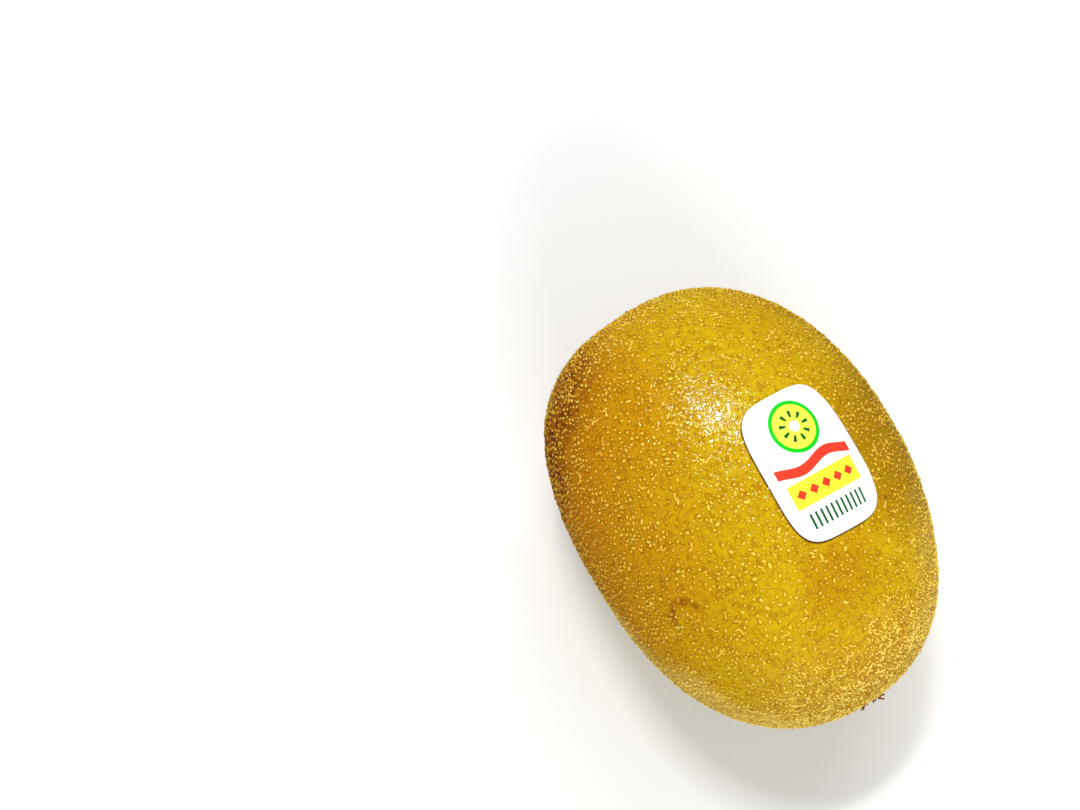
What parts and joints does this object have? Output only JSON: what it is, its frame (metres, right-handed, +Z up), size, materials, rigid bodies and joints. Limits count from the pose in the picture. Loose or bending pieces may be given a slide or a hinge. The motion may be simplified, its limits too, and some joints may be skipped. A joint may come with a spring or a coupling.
{
  "type": "golden kiwi fruit",
  "caption": "Whole oval golden kiwi fruit lying on its side, with raised skin dots, dried remains at both ends and a small paper label.",
  "frame": {"origin": "middle of the underside of the bounding box, on the flat spot that the fruit rests on", "axes": "+X along the fruit's long axis towards the blossom end with the dried styles, +Z up, +Y to the side that the label leans towards"},
  "size_m": [0.0742, 0.0546, 0.0513],
  "materials": {
    "skin": "satin skin with glossy raised dots",
    "dried_style": "dry, matte",
    "dried_sepal": "dry, corky, matte",
    "paper": "coated paper, slightly glossy"
  },
  "bodies": {
    "root": {"berry": "skin", "dried_styles": "dried_style", "dried_calyx": "dried_sepal", "label": "paper"}
  },
  "joints": []
}
